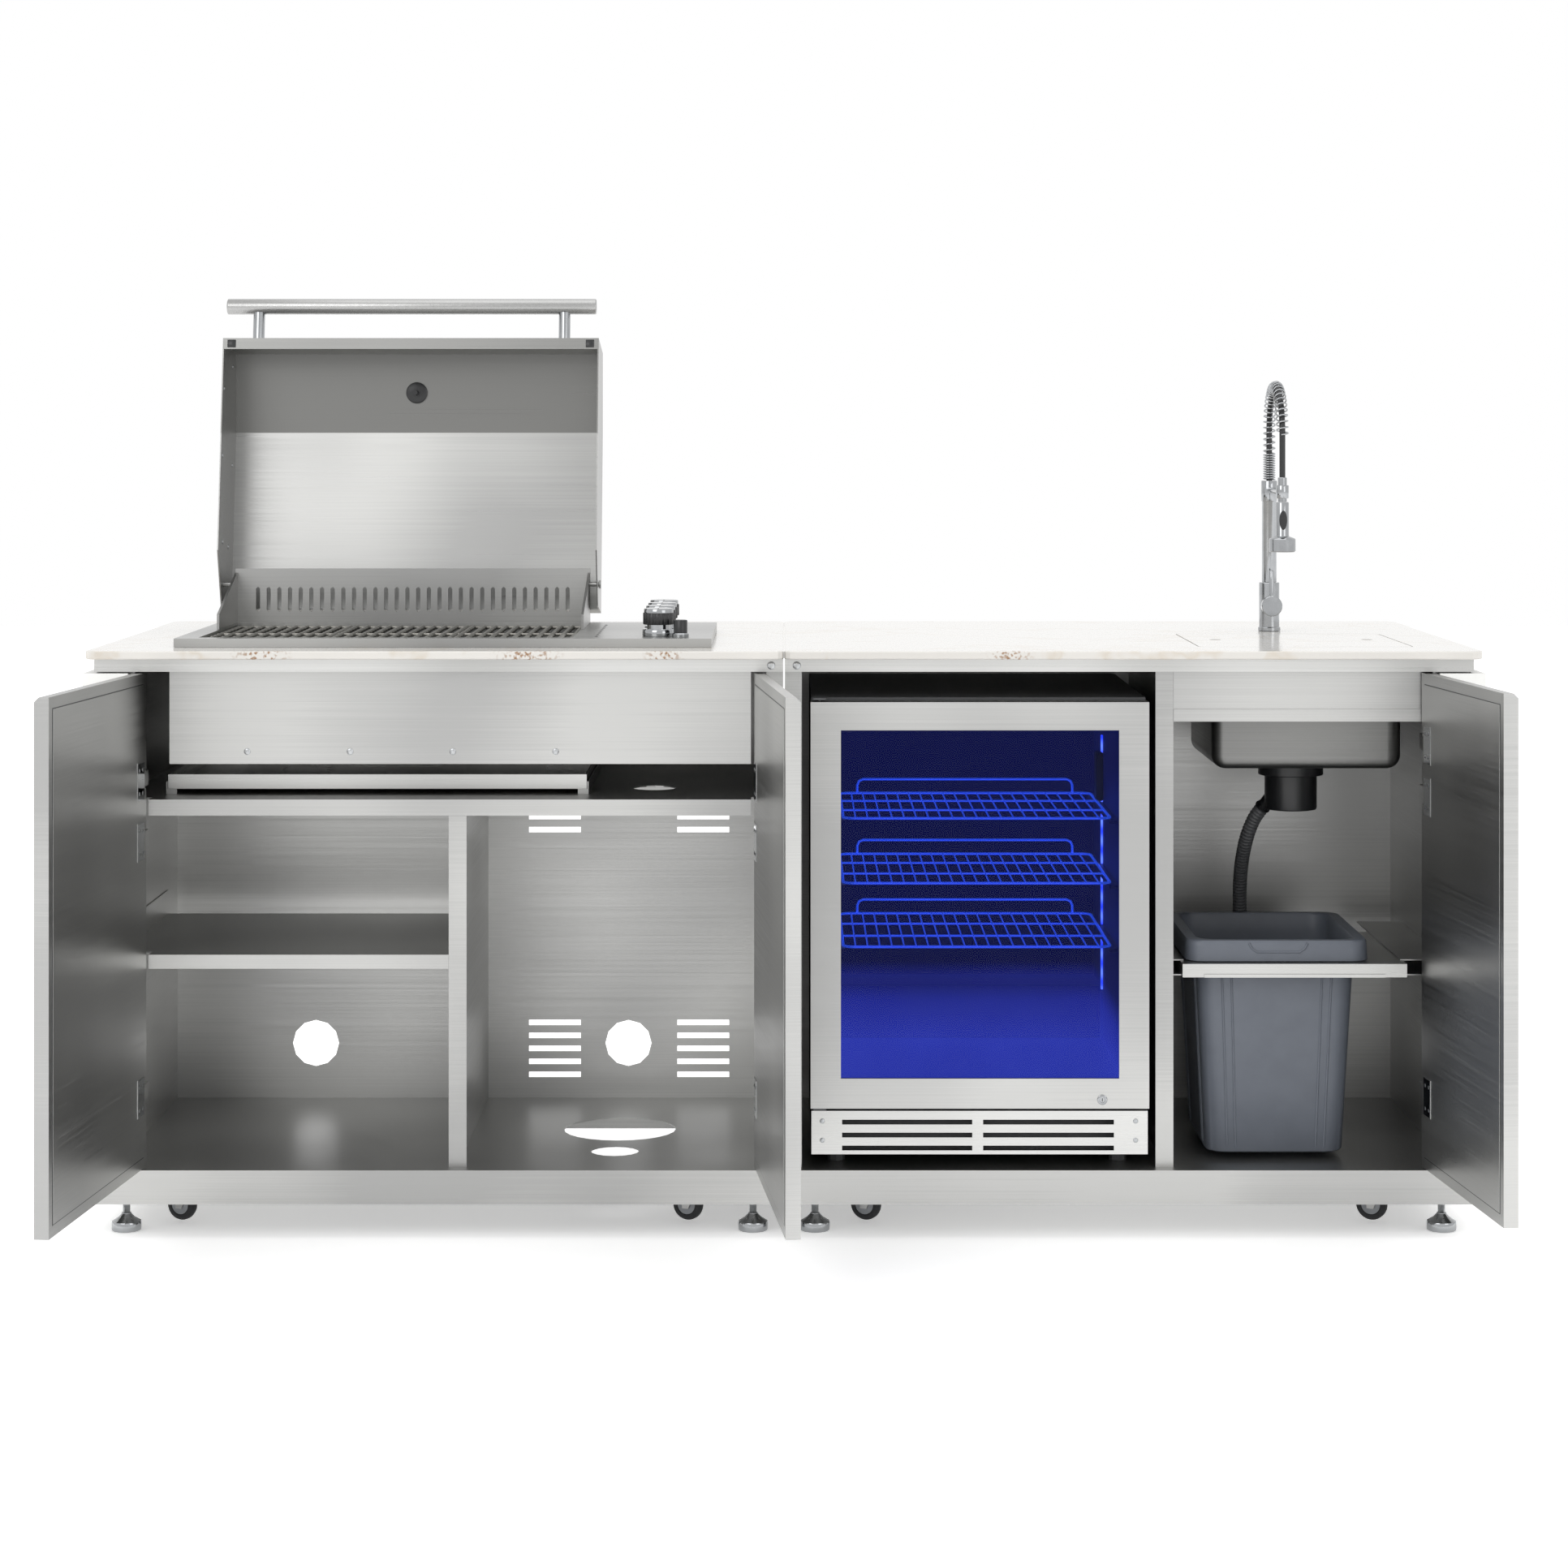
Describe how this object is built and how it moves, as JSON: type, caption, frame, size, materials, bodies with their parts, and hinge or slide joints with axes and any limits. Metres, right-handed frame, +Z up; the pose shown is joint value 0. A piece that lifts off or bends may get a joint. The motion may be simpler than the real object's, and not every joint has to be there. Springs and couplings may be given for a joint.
{
  "type": "outdoor kitchen island",
  "caption": "Outdoor kitchen island with a drop-in gas grill, glass-door refrigerator, sink with spring faucet and pull-out bin, white slab worktops and open cabinet doors.",
  "frame": {"origin": "centre of the bounding box's underside, on the floor, with the doors open as pictured", "axes": "+X right along the island, +Y to the back, +Z up"},
  "size_m": [2.1956, 1.2696, 1.4901],
  "materials": {
    "brushed_steel": "horizontally brushed stainless steel",
    "dark_steel": "grey brushed steel inside the cabinets",
    "bright_steel": "polished stainless steel",
    "chrome": "polished chrome",
    "marble": "polished white marble with faint beige veins",
    "white_enamel": "white enamel, satin",
    "black_plastic": "black plastic, satin",
    "grate_steel": "dull steel rods",
    "tyre": "black rubber tyre",
    "hose_grey": "dark grey ribbed hose",
    "bin_grey": "grey-blue moulded plastic",
    "fridge_body": "dark painted case with a blue-lit liner",
    "fridge_door_frame": "brushed steel skin",
    "tinted_glass": "double glass pane, blue-lit from inside",
    "rack_wire": "chromed wire"
  },
  "bodies": {
    "island": {"left_carcass": "dark_steel", "right_carcass": "dark_steel", "heat_shelf": "dark_steel", "low_shelf": "dark_steel", "grill_rear_wall": "dark_steel", "grill_firebox": "dark_steel", "flame_tamer_1": "dark_steel", "flame_tamer_2": "dark_steel", "flame_tamer_3": "dark_steel", "flame_tamer_4": "dark_steel", "left_end_panel": "white_enamel", "right_end_panel": "white_enamel", "left_worktop": "marble", "right_worktop": "marble", "left_top_rail": "brushed_steel", "right_top_rail": "brushed_steel", "grill_fascia": "brushed_steel", "sink_fascia": "brushed_steel", "toe_grille": "brushed_steel", "sink_bowl": "brushed_steel", "cooking_grate_1": "grate_steel", "cooking_grate_2": "grate_steel", "cooking_grate_3": "grate_steel", "drain_basket": "black_plastic", "fridge_cabinet": "fridge_body", "fridge_shelf_1": "rack_wire", "fridge_shelf_2": "rack_wire", "fridge_shelf_3": "rack_wire", "drain_hose": "hose_grey", "faucet_base": "chrome"},
    "left_door_body": {"left_door": "brushed_steel"},
    "right_door_body": {"right_door": "brushed_steel"},
    "sink_door_body": {"sink_door": "brushed_steel"},
    "fridge_door_body": {"fridge_door": "fridge_door_frame", "fridge_glass": "tinted_glass"},
    "lid_body": {"grill_lid": "brushed_steel", "lid_handle": "bright_steel", "lid_thermometer": "black_plastic"},
    "tray_body": {"grease_tray": "dark_steel"},
    "bin_body": {"bin_frame": "dark_steel", "waste_bin": "bin_grey"},
    "cover_body": {"sink_cover": "marble"},
    "spout_body": {"faucet_spout": "chrome", "faucet_spring": "chrome", "spray_head": "chrome"},
    "button_body": {"spray_button": "black_plastic"},
    "lever_body": {"faucet_lever": "chrome"},
    "igniter_body": {"ignition_knob": "black_plastic"},
    "knob_1_body": {"burner_knob_1": "black_plastic"},
    "knob_2_body": {"burner_knob_2": "black_plastic"},
    "knob_3_body": {"burner_knob_3": "black_plastic"},
    "knob_4_body": {"burner_knob_4": "black_plastic"},
    "wheel_1_body": {"caster_wheel_1": "tyre"},
    "wheel_2_body": {"caster_wheel_2": "tyre"},
    "wheel_3_body": {"caster_wheel_3": "tyre"},
    "wheel_4_body": {"caster_wheel_4": "tyre"},
    "wheel_5_body": {"caster_wheel_5": "tyre"},
    "wheel_6_body": {"caster_wheel_6": "tyre"},
    "wheel_7_body": {"caster_wheel_7": "tyre"},
    "wheel_8_body": {"caster_wheel_8": "tyre"}
  },
  "joints": [
    {"name": "left_door_hinge", "type": "hinge", "parent": "island", "child": "left_door_body", "pos_m": [-1.0124, -0.14878, 0.496], "axis": [0, 0, -1], "range_deg": [-95.7, 0]},
    {"name": "right_door_hinge", "type": "hinge", "parent": "island", "child": "right_door_body", "pos_m": [-0.0356, -0.14878, 0.496], "axis": [0, 0, 1], "range_deg": [-95.7, 0]},
    {"name": "sink_door_hinge", "type": "hinge", "parent": "island", "child": "sink_door_body", "pos_m": [1.0124, -0.14878, 0.496], "axis": [0, 0, 1], "range_deg": [-95.7, 0]},
    {"name": "fridge_door_hinge", "type": "hinge", "parent": "island", "child": "fridge_door_body", "pos_m": [0.0557, -0.14618, 0.5], "axis": [0, 0, -1], "range_deg": [0, 90]},
    {"name": "lid_hinge", "type": "hinge", "parent": "island", "child": "lid_body", "pos_m": [-0.6365, 0.32282, 1.0007], "axis": [-1, 0, 0], "range_deg": [-100, 0]},
    {"name": "burner_knob_1_turn", "type": "hinge", "parent": "island", "child": "knob_1_body", "pos_m": [-0.201, -0.02518, 0.92], "axis": [0, 0, 1], "range_deg": [0, 225]},
    {"name": "burner_knob_2_turn", "type": "hinge", "parent": "island", "child": "knob_2_body", "pos_m": [-0.201, 0.06182, 0.92], "axis": [0, 0, 1], "range_deg": [0, 225]},
    {"name": "burner_knob_3_turn", "type": "hinge", "parent": "island", "child": "knob_3_body", "pos_m": [-0.201, 0.14882, 0.92], "axis": [0, 0, 1], "range_deg": [0, 225]},
    {"name": "burner_knob_4_turn", "type": "hinge", "parent": "island", "child": "knob_4_body", "pos_m": [-0.201, 0.23582, 0.92], "axis": [0, 0, 1], "range_deg": [0, 225]},
    {"name": "ignition_knob_turn", "type": "hinge", "parent": "island", "child": "igniter_body", "pos_m": [-0.165, -0.05518, 0.92], "axis": [0, 0, 1], "range_deg": [0, 90]},
    {"name": "grease_tray_slide", "type": "slide", "parent": "island", "child": "tray_body", "axis": [0, -1, 0], "range_m": [0, 0.3]},
    {"name": "bin_slide", "type": "slide", "parent": "island", "child": "bin_body", "axis": [0, -1, 0], "range_m": [0, 0.235]},
    {"name": "sink_cover_lift", "type": "slide", "parent": "island", "child": "cover_body", "axis": [0, 0, 1], "range_m": [0, 0.1]},
    {"name": "wheel_1_roll", "type": "hinge", "parent": "island", "child": "wheel_1_body", "pos_m": [-0.96088, -0.04511, 0.0285], "axis": [0.4226, 0.9063, 0], "continuous": true},
    {"name": "wheel_2_roll", "type": "hinge", "parent": "island", "child": "wheel_2_body", "pos_m": [-0.15288, -0.04511, 0.0285], "axis": [0.4226, 0.9063, 0], "continuous": true},
    {"name": "wheel_3_roll", "type": "hinge", "parent": "island", "child": "wheel_3_body", "pos_m": [0.13112, -0.04511, 0.0285], "axis": [0.4226, 0.9063, 0], "continuous": true},
    {"name": "wheel_4_roll", "type": "hinge", "parent": "island", "child": "wheel_4_body", "pos_m": [0.93912, -0.04511, 0.0285], "axis": [0.4226, 0.9063, 0], "continuous": true},
    {"name": "wheel_5_roll", "type": "hinge", "parent": "island", "child": "wheel_5_body", "pos_m": [-0.96088, 0.32289, 0.0285], "axis": [0.4226, 0.9063, 0], "continuous": true},
    {"name": "wheel_6_roll", "type": "hinge", "parent": "island", "child": "wheel_6_body", "pos_m": [-0.15288, 0.32289, 0.0285], "axis": [0.4226, 0.9063, 0], "continuous": true},
    {"name": "wheel_7_roll", "type": "hinge", "parent": "island", "child": "wheel_7_body", "pos_m": [0.13112, 0.32289, 0.0285], "axis": [0.4226, 0.9063, 0], "continuous": true},
    {"name": "wheel_8_roll", "type": "hinge", "parent": "island", "child": "wheel_8_body", "pos_m": [0.93912, 0.32289, 0.0285], "axis": [0.4226, 0.9063, 0], "continuous": true},
    {"name": "spout_swivel", "type": "hinge", "parent": "island", "child": "spout_body", "pos_m": [0.83, 0.34782, 1.01], "axis": [0, 0, 1], "range_deg": [-100, 100]},
    {"name": "spray_button_press", "type": "slide", "parent": "spout_body", "child": "button_body", "axis": [0, 1, 0], "range_m": [0, 0.0012], "stiffness_N_per_m": 600},
    {"name": "faucet_lever_turn", "type": "hinge", "parent": "island", "child": "lever_body", "pos_m": [0.83, 0.31982, 0.964], "axis": [0, 1, 0], "range_deg": [-45, 45]}
  ]
}
